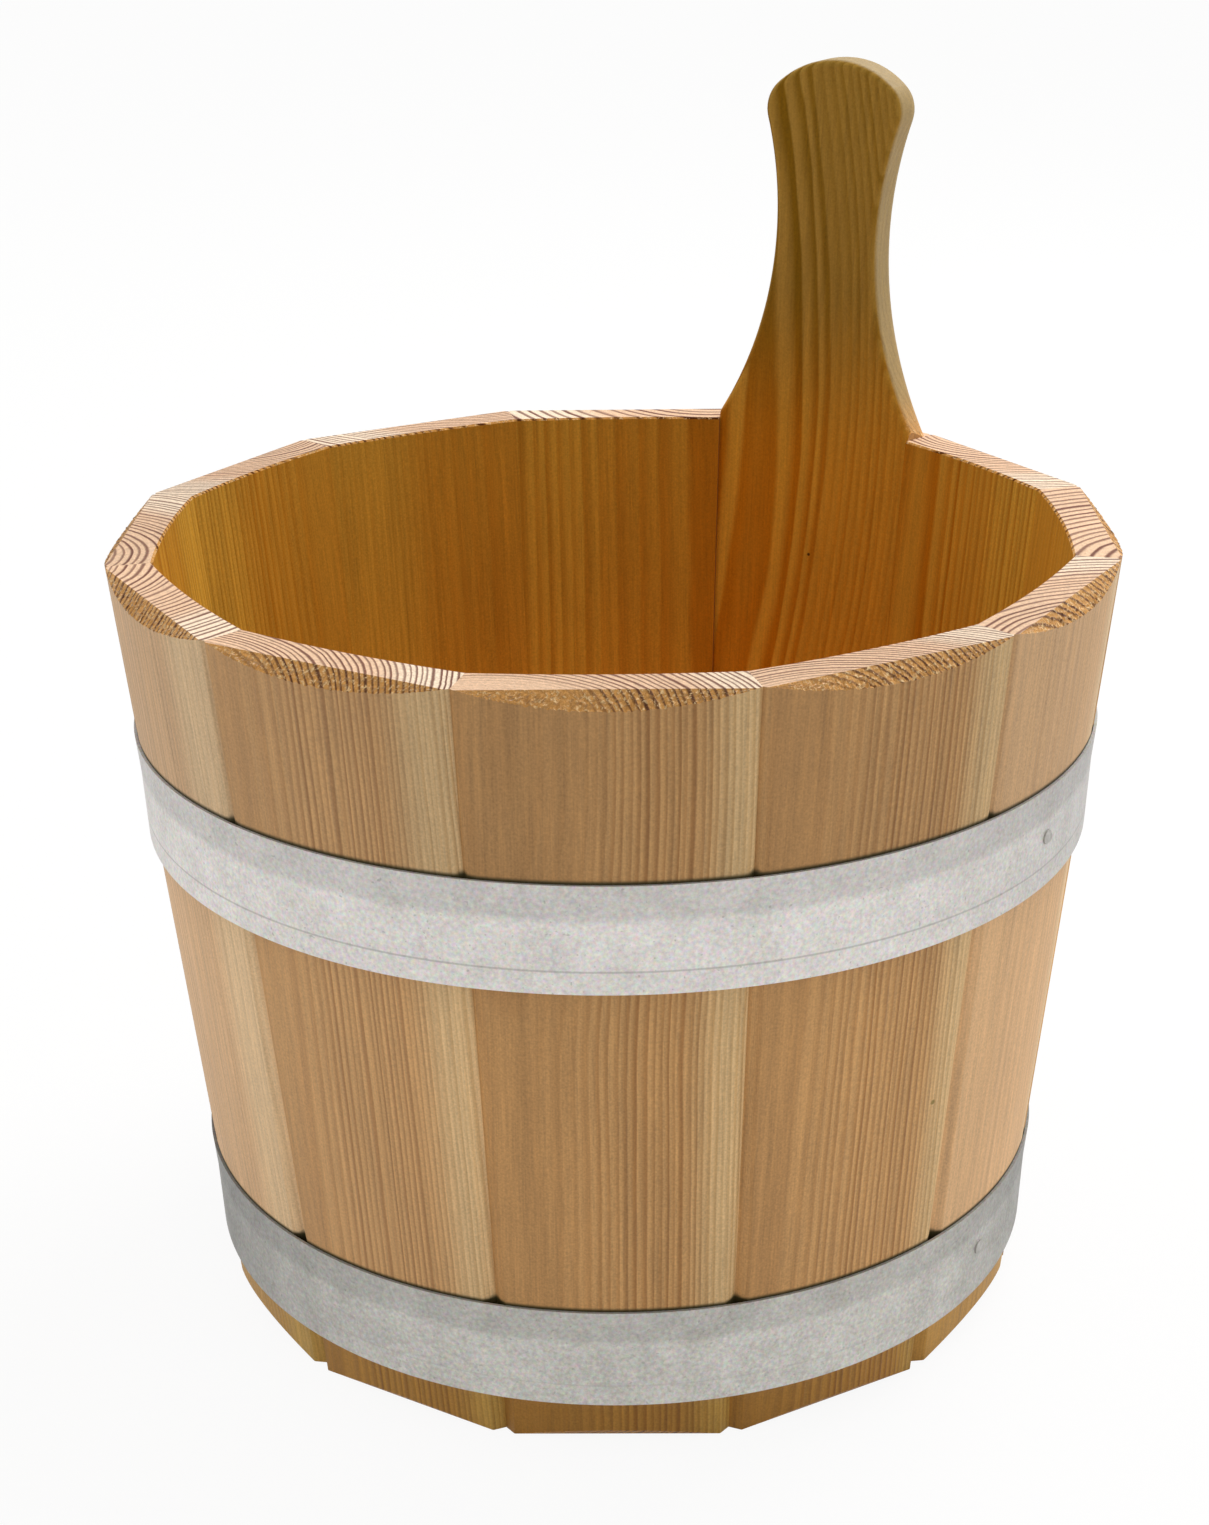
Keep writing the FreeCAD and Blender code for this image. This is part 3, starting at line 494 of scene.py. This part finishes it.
def board_wood(name, facing, heart, ring, sap_from, seed, lines=1.0, light=1.0, lean=0.0, bow=0.0, bow_at=100,
               heart_rise=0.0, lines_from=12.0, faint_from=90.0, first=0.0, uneven=0.45, pale=0.0,
               lines_outside=None, mark=None):
    """Planed larch for one board, cut from its own place in the trunk."""
    material, tree, surface = new_material(f"planed_larch_{name}")
    row_place = add(tree, "TexCoord", give="Object")
    front = turned_to_front(tree, facing, row_place, 1000.0)
    height = add(tree, "SeparateXYZ", {0: row_place}, give="Z")
    height = add(tree, "Math", {0: height, 1: 1000.0}, operation="MULTIPLY")
    place = from_heart(tree, name, facing, heart, lean, front)
    trunk = grown(tree, place, bow, bow_at, heart_rise, seed)

    # The year's lines, the sapwood, and fibres, streaks and slow changes of tone drawn out along the grain
    distance, season, strength = year_rings(tree, trunk, ring, uneven, first, seed)
    line, end_line, shown = year_lines(tree, distance, season, strength, lines_from, faint_from)
    sap = add(tree, "MapRange", {"Value": distance, 1: sap_from - SAP_SETS_IN, 2: sap_from + SAP_SETS_IN},
              interpolation_type="SMOOTHSTEP")
    fibre = drawn_out(tree, place, FIBRE, (0, 0, 0), {"Detail": 2.0, "Roughness": 0.6})
    streak = drawn_out(tree, place, STREAK, (seed, seed, 0), {"Detail": 3.0})
    blotch = drawn_out(tree, place, BLOTCH, (0, seed, seed), {"Detail": 2.0})
    torn = drawn_out(tree, place, TEAR, (0, 0, 0), {"Detail": 3.0, "Roughness": 0.65})
    speckle = add(tree, "TexNoise", {"Vector": place, "Scale": 1 / SPECKLE, "Detail": 1.0})

    # Which way the surface looks: sawn across the grain, inside or outside. The bottom's boards show only
    # their planed faces, stained as the inside of the wall is.
    normal = add(tree, "TexCoord", give="Normal")
    steepness = add(tree, "SeparateXYZ", {0: normal}, give="Z")
    steepness = add(tree, "Math", {0: steepness}, operation="ABSOLUTE")
    level = add(tree, "MapRange", {"Value": steepness, 1: 0.9, 2: 0.97}, interpolation_type="SMOOTHSTEP")
    above_rim = add(tree, "MapRange", {"Value": height, 1: NECK_FROM, 2: NECK_TO})
    facing_out = add(tree, "SeparateXYZ", {0: turned_to_front(tree, facing, normal)}, give="Y")
    if facing is None:
        sawn = 0.0
        inside = 1.0
        paler = sap
        shine = 0.2
    else:
        sawn = add(tree, "MapRange", {"Value": steepness, 1: 0.3, 2: 0.55}, interpolation_type="SMOOTHSTEP")
        below_rim = add(tree, "Math", {0: 1.0, 1: above_rim}, operation="SUBTRACT")
        sawn = add(tree, "Math", {0: sawn, 1: below_rim}, operation="MULTIPLY")
        inside = add(tree, "MapRange", {"Value": facing_out, 1: -0.25, 2: -0.6})
        paler = add(tree, "Math", {0: inside, 1: -0.5, 2: 1.0}, operation="MULTIPLY_ADD")
        paler = add(tree, "Math", {0: paler, 1: sap}, operation="MULTIPLY")
        shine = add(tree, "MapRange", {"Value": inside, 3: 0.35, 4: 0.05})

    # The planed faces: lines in the heartwood and the sapwood, and the stain inside and on the neck's edges
    plain = add(tree, "Math", {0: shown, 1: -NEAR_HEART, 2: NEAR_HEART}, operation="MULTIPLY_ADD")
    contrast = LINE_STRENGTH * lines
    if lines_outside:
        contrast = add(tree, "MapRange", {"Value": inside, 3: LINE_STRENGTH * lines_outside, 4: contrast})
    side_line = add(tree, "Math", {0: line, 1: contrast, 2: plain}, operation="MULTIPLY_ADD", use_clamp=True)
    drier = add(tree, "MapRange", {"Value": height, 1: DRIER_FROM, 2: DRIER_TO},
                interpolation_type="SMOOTHSTEP")
    late = add(tree, "Mix", {0: drier, 6: paint(LATE_INSIDE), 7: paint(LATE_NECK)}, give=2, data_type="RGBA")
    late = add(tree, "Mix", {0: inside, 6: paint(LATE), 7: late}, give=2, data_type="RGBA")
    heartwood = add(tree, "Mix", {0: side_line, 6: paint(EARLY), 7: late}, give=2, data_type="RGBA")
    sapwood = add(tree, "Mix", {0: side_line, 6: paint(SAP), 7: paint(SAP_LINE)}, give=2, data_type="RGBA")
    side = add(tree, "Mix", {0: paler, 6: heartwood, 7: sapwood}, give=2, data_type="RGBA")
    side = add(tree, "Mix", {0: pale, 6: side, 7: paint(PALE)}, give=2, data_type="RGBA")
    not_outside = add(tree, "MapRange", {"Value": facing_out, 1: 0.3, 2: 0.7, 3: 1.0, 4: 0.0})
    neck = add(tree, "Math", {0: above_rim, 1: not_outside}, operation="MULTIPLY")
    stained = add(tree, "Math", {0: inside, 1: neck}, operation="MAXIMUM")
    stain = add(tree, "Mix", {0: drier, 6: paint(INSIDE), 7: paint(NECK)}, give=2, data_type="RGBA")
    side = add(tree, "Mix", {0: stained, 6: side, 7: stain}, give=2, data_type="RGBA", blend_type="MULTIPLY")

    # The whole board, lighter and darker along its fibres and, in the wall, painted shade: lighter low, darker
    # towards the rim
    end = sawn_end(tree, end_line, sap, torn, level, above_rim)
    colour = add(tree, "Mix", {0: sawn, 6: side, 7: end}, give=2, data_type="RGBA")
    edge = add(tree, "Math", {0: neck, 1: inside}, operation="SUBTRACT")
    edge = add(tree, "Math", {0: edge, 1: 0.7}, operation="MULTIPLY", use_clamp=True)
    colour = add(tree, "Mix", {0: edge, 6: colour, 7: paint(NECK_EDGE)}, give=2, data_type="RGBA")
    tone = add(tree, "Math", {0: fibre, 1: 0.5, 2: light - EVEN_TONE}, operation="MULTIPLY_ADD")
    tone = add(tree, "Math", {0: streak, 1: 0.5, 2: tone}, operation="MULTIPLY_ADD")
    tone = add(tree, "Math", {0: blotch, 1: 0.22, 2: tone}, operation="MULTIPLY_ADD")
    tone = add(tree, "Math", {0: speckle, 1: 0.5, 2: tone}, operation="MULTIPLY_ADD")
    # Painted shade: the wall is lighter below mid-height and darker towards the rim
    if facing is not None:
        painted_shade = add(tree, "MapRange", {"Value": height, 1: PAINTED_SHADE_FROM, 2: PAINTED_SHADE_TO, 3: 1.1, 4: 0.91},
                     interpolation_type="SMOOTHSTEP")
        tone = add(tree, "Math", {0: tone, 1: painted_shade}, operation="MULTIPLY")
    colour = add(tree, "VectorMath", {0: colour, "Scale": tone}, operation="SCALE")

    # Its flaw, painted shade at the foot near the floor, and painted shadow in the corner above each hoop
    if mark:
        spot, size, shade = mark
        spot = add(tree, "VectorMath", {0: front, 1: spot}, give="Value", operation="DISTANCE")
        spot = add(tree, "MapRange", {"Value": spot, 1: 0.6 * size, 2: size, 3: 0.9, 4: 0.0})
        colour = add(tree, "Mix", {0: spot, 6: colour, 7: paint(shade)}, give=2, data_type="RGBA")
    if facing is not None:
        # Painted shade: the foot darkens towards the floor
        foot_shade = add(tree, "MapRange", {"Value": height, 1: FOOT_FROM, 2: FOOT_TO, 3: 1.0, 4: 0.0})
        colour = add(tree, "Mix", {0: foot_shade, 6: colour, 7: paint(FOOT_SHADE)}, give=2, data_type="RGBA",
                     blend_type="MULTIPLY")
        # Painted shadow in the corner above each hoop, on the outer faces only
        outside = add(tree, "MapRange", {"Value": facing_out, 1: 0.1, 2: 0.3})
        gap_shadow = add(tree, "Math", {0: hoop_gap_shadow(tree, front, height), 1: outside}, operation="MULTIPLY")
        colour = add(tree, "Mix", {0: gap_shadow, 6: colour, 7: paint(GAP_SHADOW)}, give=2, data_type="RGBA")

    # Lines and fibres stand a little proud of the planed face, and the saw leaves the bevel ragged
    saw_cut = add(tree, "Math", {0: torn, 1: 3.0, 2: end_line}, operation="MULTIPLY_ADD")
    plane_cut = add(tree, "Math", {0: fibre, 1: 0.4, 2: side_line}, operation="MULTIPLY_ADD")
    relief = add(tree, "Mix", {0: sawn, 2: plane_cut, 3: saw_cut}, give=0)
    bump = add(tree, "Bump", {"Height": relief, "Strength": 0.6, "Distance": PROUD})
    roughness = add(tree, "MapRange", {"Value": fibre, 1: 0.3, 2: 0.7, 3: 0.52, 4: 0.68})
    shader = add(tree, "BsdfPrincipled", {"Base Color": colour, "Roughness": roughness, "Normal": bump,
                                          "IOR": 1.45, "Specular IOR Level": shine})
    tree.links.new(shader, surface)
    return material


# Galvanised steel strip, hot-dipped and rolled. Its zinc gives a pale grey with a fine mottle about a
# millimetre wide, softer clouds, dark specks and a soft, broad shine. The lower hoop's zinc is a little green,
# and darker, partly as painted shade. Each hoop is painted brightest on one side and darker away from it, a
# painted light and shade, and a rolling score runs round it above its lower edge. Sizes are in millimetres,
# the side in degrees.
# The lower hoop's colours are a little green, and darker, partly as painted shade
ZINC = {"upper_hoop": ("#D4D0CB", "#F6F2EE"), "lower_hoop": ("#BBB9B2", "#E4E2DC")}
ZINC_SCORE = "#8F8C86"
# Painted light on each hoop: the side it comes from, where it sets in and is full (mm), and the painted shade
# away from it
PAINTED_LIGHT_SIDE = {"upper_hoop": 286, "lower_hoop": 304}
PAINTED_LIGHT_FROM = {"upper_hoop": 0.0, "lower_hoop": 25.0}
PAINTED_LIGHT_TO = 105.0
PAINTED_SHADE_LEVEL = {"upper_hoop": 0.68, "lower_hoop": 0.46}
SCORE = {"upper_hoop": 0.45, "lower_hoop": 0.15}
SCORE_HEIGHT = 0.21 * HOOP_WIDTH
CLOUD = 9.0
MOTTLE = 1.1
TINT = 0.9
SPECK = 0.8
WIRE = "#CDCAC5"


def hoop_steel(name):
    """The finish of one hoop."""
    material, tree, surface = new_material(f"galvanised_steel_{name}")
    place = add(tree, "TexCoord", give="Object")
    place = add(tree, "VectorMath", {0: place, "Scale": 1000.0}, operation="SCALE")
    cloud = add(tree, "TexNoise", {"Vector": place, "Scale": 1 / CLOUD, "Detail": 3.0})
    mottle = add(tree, "TexNoise", {"Vector": place, "Scale": 1 / MOTTLE, "Detail": 3.0, "Roughness": 0.7})
    tone = add(tree, "Math", {0: cloud, 1: 0.9, 2: -0.85}, operation="MULTIPLY_ADD")
    tone = add(tree, "Math", {0: mottle, 1: 1.8, 2: tone}, operation="MULTIPLY_ADD", use_clamp=True)
    dark, pale = ZINC[name]
    colour = add(tree, "Mix", {0: tone, 6: paint(dark), 7: paint(pale)}, give=2, data_type="RGBA")
    tint = add(tree, "TexNoise", {"Vector": place, "Scale": 1 / TINT, "Detail": 1.0}, give="Color")
    tint = add(tree, "VectorMath", {0: tint, 1: (0.4, 0.4, 0.4), 2: (0.8, 0.8, 0.8)},
               operation="MULTIPLY_ADD")
    colour = add(tree, "VectorMath", {0: colour, 1: tint}, operation="MULTIPLY")
    speck = add(tree, "TexNoise", {"Vector": place, "Scale": 1 / SPECK, "Detail": 0.0})
    speck = add(tree, "MapRange", {"Value": speck, 1: 0.76, 2: 0.84, 4: 0.4})
    colour = add(tree, "Mix", {0: speck, 6: colour, 7: paint(ZINC_SCORE)}, give=2, data_type="RGBA")

    # Above the crease the strip is painted greyer, a painted shade
    height = add(tree, "SeparateXYZ", {0: place}, give="Z")
    height = add(tree, "Math", {0: height, 1: HOOP_FEET[name]}, operation="SUBTRACT")
    above = add(tree, "MapRange", {"Value": height, 1: HOOP_CREASE - 1.0, 2: HOOP_CREASE + 1.5,
                                   3: 1.0, 4: 0.82}, interpolation_type="SMOOTHSTEP")
    colour = add(tree, "VectorMath", {0: colour, "Scale": above}, operation="SCALE")
    # Painted light: brighter towards one side, with painted shade away from it
    way = radians(PAINTED_LIGHT_SIDE[name])
    painted_light = add(tree, "VectorMath", {0: place, 1: (cos(way), sin(way), 0)}, give="Value",
                 operation="DOT_PRODUCT")
    painted_light = add(tree, "MapRange", {"Value": painted_light, 1: PAINTED_LIGHT_FROM[name], 2: PAINTED_LIGHT_TO,
                                    3: PAINTED_SHADE_LEVEL[name], 4: 1.0}, interpolation_type="SMOOTHSTEP")
    colour = add(tree, "VectorMath", {0: colour, "Scale": painted_light}, operation="SCALE")
    scored = add(tree, "Math", {0: height, 1: SCORE_HEIGHT}, operation="SUBTRACT")
    scored = add(tree, "Math", {0: scored}, operation="ABSOLUTE")
    scored = add(tree, "MapRange", {"Value": scored, 1: 0.1, 2: 0.35, 3: SCORE[name], 4: 0.0})
    colour = add(tree, "Mix", {0: scored, 6: colour, 7: paint(ZINC_SCORE)}, give=2, data_type="RGBA")
    bump = add(tree, "Bump", {"Height": tone, "Strength": 0.35, "Distance": 0.0002})
    roughness = add(tree, "MapRange", {"Value": tone, 3: 0.62, 4: 0.45})
    shader = add(tree, "BsdfPrincipled", {"Base Color": colour, "Metallic": 0.45, "Roughness": roughness,
                                          "Normal": bump})
    tree.links.new(shader, surface)
    return material


def fastener_steel():
    """Galvanised wire, cut and headed: the same zinc, smoother, a little darker and with a brighter glint."""
    material, tree, surface = new_material("galvanised_wire_nails_and_rivets")
    place = add(tree, "TexCoord", give="Object")
    grain = add(tree, "TexNoise", {"Vector": place, "Scale": 900.0, "Detail": 3.0})
    colour = add(tree, "Mix", {0: grain, 6: paint(ZINC_SCORE), 7: paint(WIRE)}, give=2, data_type="RGBA")
    bump = add(tree, "Bump", {"Height": grain, "Strength": 0.3, "Distance": 0.0001})
    roughness = add(tree, "MapRange", {"Value": grain, 3: 0.5, 4: 0.35})
    shader = add(tree, "BsdfPrincipled", {"Base Color": colour, "Metallic": 1.0, "Roughness": roughness,
                                          "Normal": bump})
    tree.links.new(shader, surface)
    return material


# Every board, hoop and fastener gets its shape and its finish
for board, cut in BOARDS.items():
    if board.startswith("stave"):
        cut_stave(board, cut["facing"], cut["seed"]).data.materials.append(board_wood(board, **cut))
    else:
        dress(board, board_wood(board, **cut))
for hoop in ZINC:
    bend_hoop(hoop).data.materials.append(hoop_steel(hoop))
fastener = fastener_steel()
for node in ("upper_hoop_rivets", "lower_hoop_rivets", "upper_hoop_nails", "lower_hoop_nails"):
    dress(node, fastener)

# Camera
EYE = Vector((0.3134, -0.5240, 0.3729))
TARGET = Vector((-0.0025, -0.0015, 0.1328))
ROLL = -0.79
camera = bpy.data.objects.new("camera", bpy.data.cameras.new("camera"))
camera.data.lens = 59.92
camera.data.sensor_width = 36
camera.location = EYE
camera.rotation_mode = "QUATERNION"
camera.rotation_quaternion = (TARGET - EYE).to_track_quat("-Z", "Y") @ Quaternion((0, 0, 1), radians(ROLL))
bpy.context.scene.collection.objects.link(camera)
bpy.context.scene.camera = camera

# The way the camera looks, level, and the way to its right: the lamps are set out from these
AHEAD = (TARGET - EYE) * Vector((1, 1, 0))
AHEAD.normalize()
RIGHT = AHEAD.cross(Vector((0, 0, 1)))
MIDDLE = Vector((0, 0, 0.12))


def lamp(name, place, size, power):
    """A square soft lamp that points at the middle of the bucket."""
    light = bpy.data.objects.new(name, bpy.data.lights.new(name, "AREA"))
    light.data.size = size
    light.data.energy = power
    light.location = place
    light.rotation_mode = "QUATERNION"
    light.rotation_quaternion = (MIDDLE - place).to_track_quat("-Z", "Y")
    bpy.context.scene.collection.objects.link(light)


lamp("lamp_behind", AHEAD * 0.8 + RIGHT * 0.7 + Vector((0, 0, 1.5)), size=0.9, power=19)
lamp("lamp_front", AHEAD * -1.6 + RIGHT * 0.9 + Vector((0, 0, 1.2)), size=1.2, power=2)


def seen_directly(tree):
    """1 for what the camera sees, straight, in the metal or through something clear, and 0 for light."""
    rays = tree.nodes.new("ShaderNodeLightPath")
    seen = add(tree, "Math", {0: rays.outputs["Is Camera Ray"], 1: rays.outputs["Is Glossy Ray"]},
               operation="MAXIMUM")
    return add(tree, "Math", {0: seen, 1: rays.outputs["Is Transmission Ray"]}, operation="MAXIMUM")


# The room: plain white to the eye and in the metal. Where it lights the wood it is bright above, behind and
# at both sides, and dim in front.
DIM_FRONT = 0.32
world = bpy.data.worlds.new("studio_room")
world.use_nodes = True
bpy.context.scene.world = world
tree = world.node_tree
tree.nodes.clear()
way = add(tree, "TexCoord", give="Generated")
in_front = add(tree, "VectorMath", {0: way, 1: tuple(-AHEAD)}, give="Value", operation="DOT_PRODUCT")
glow = add(tree, "MapRange", {"Value": in_front, 1: -0.2, 2: 0.85, 3: 1.0, 4: DIM_FRONT},
           interpolation_type="SMOOTHSTEP")
strength = add(tree, "Mix", {0: seen_directly(tree), 2: glow, 3: 1.0}, give=0)
room = add(tree, "Background", {"Color": (1, 1, 1, 1), "Strength": strength})
tree.links.new(room, tree.nodes.new("ShaderNodeOutputWorld").inputs["Surface"])

# The floor: plain and pale, with the bucket's shadow soft on it
FLOOR_HALF = 6.0
FLOOR_WHITENESS = 0.92
mesh = bpy.data.meshes.new("floor")
mesh.from_pydata([(-FLOOR_HALF, -FLOOR_HALF, 0), (FLOOR_HALF, -FLOOR_HALF, 0), (FLOOR_HALF, FLOOR_HALF, 0),
                  (-FLOOR_HALF, FLOOR_HALF, 0)], [], [(0, 1, 2, 3)])
floor = bpy.data.objects.new("floor", mesh)
bpy.context.scene.collection.objects.link(floor)
material, tree, surface = new_material("white_paper_floor")
paper = add(tree, "TexNoise", {"Vector": add(tree, "TexCoord", give="Object"), "Scale": 300.0})
white = add(tree, "Mix", {0: paper, 6: paint("#E9E8E6"), 7: paint("#F2F1EF")}, give=2, data_type="RGBA")
matt = add(tree, "BsdfDiffuse", {"Color": white})
plain = add(tree, "Emission", {"Color": (1, 1, 1, 1), "Strength": 1.0})
share = add(tree, "Math", {0: seen_directly(tree), 1: FLOOR_WHITENESS}, operation="MULTIPLY")
tree.links.new(add(tree, "MixShader", {0: share, 1: matt, 2: plain}), surface)
mesh.materials.append(material)

bpy.context.scene.view_settings.view_transform = "Standard"
